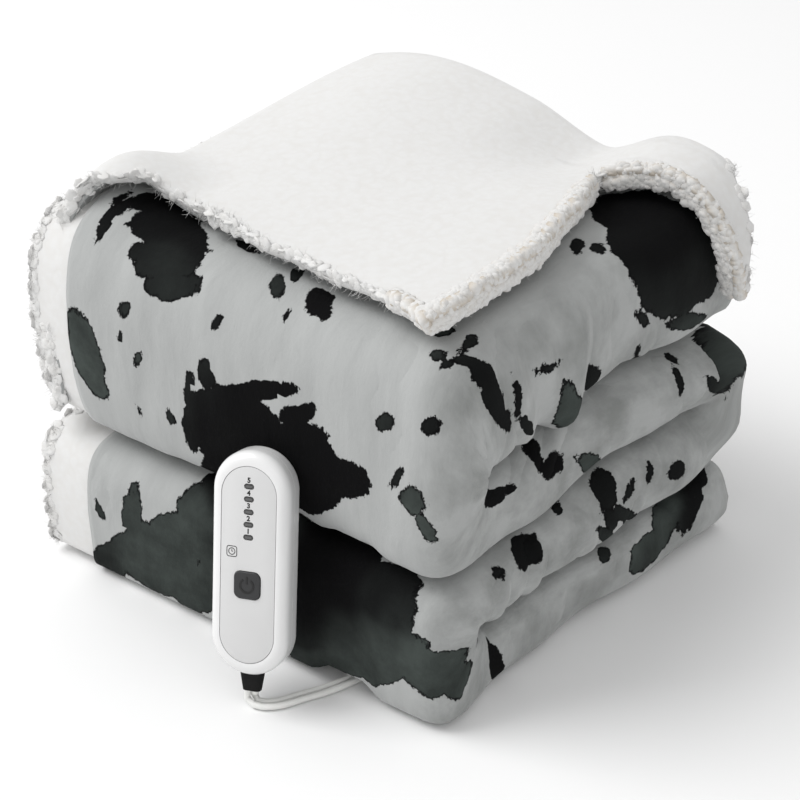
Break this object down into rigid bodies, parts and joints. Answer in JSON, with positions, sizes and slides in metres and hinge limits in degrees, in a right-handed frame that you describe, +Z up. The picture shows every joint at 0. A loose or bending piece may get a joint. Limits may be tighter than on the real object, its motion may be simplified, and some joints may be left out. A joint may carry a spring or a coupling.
{
  "type": "electric heated throw",
  "caption": "Plush heated throw with a curly pile back, folded into a pack, with a wired handset leaning on its front.",
  "frame": {"origin": "on the surface that it rests on, under the middle of the box round the pack and handset", "axes": "+Z up; X along the folds, with +X to the end with the closed folds; -Y to the front, where the handset leans; +Y to the back, where the leads come out"},
  "size_m": [0.3466, 0.4795, 0.2739],
  "materials": {
    "plush": "short plush pile printed with dark ragged patches on light grey",
    "curly_pile": "white curly short pile",
    "white_plastic": "satin moulded",
    "satin_panel": "satin",
    "charcoal_button": "satin",
    "grey_light": "smooth",
    "black_rubber": "matte",
    "white_lead": "smooth",
    "nickel": "plain nickel plate"
  },
  "bodies": {
    "throw": {"plush_face": "plush", "pile_back": "curly_pile", "handset_front_shell": "white_plastic", "handset_back_shell": "white_plastic", "handset_panel": "satin_panel", "level_light_1": "grey_light", "level_light_2": "grey_light", "level_light_3": "grey_light", "level_light_4": "grey_light", "level_light_5": "grey_light", "lead_relief": "black_rubber", "mains_lead": "white_lead", "blanket_lead": "white_lead", "mains_lead_end": "white_lead", "blanket_connector": "white_plastic", "mains_lead_coil": "white_lead", "mains_plug": "white_plastic", "plug_blade_near": "nickel", "plug_blade_far": "nickel"},
    "button": {"power_button": "charcoal_button"}
  },
  "joints": [
    {"name": "power_button_press", "type": "slide", "parent": "throw", "child": "button", "axis": [-0.2946, 0.9175, -0.2672], "range_m": [0, 0.0008], "stiffness_N_per_m": 400}
  ]
}
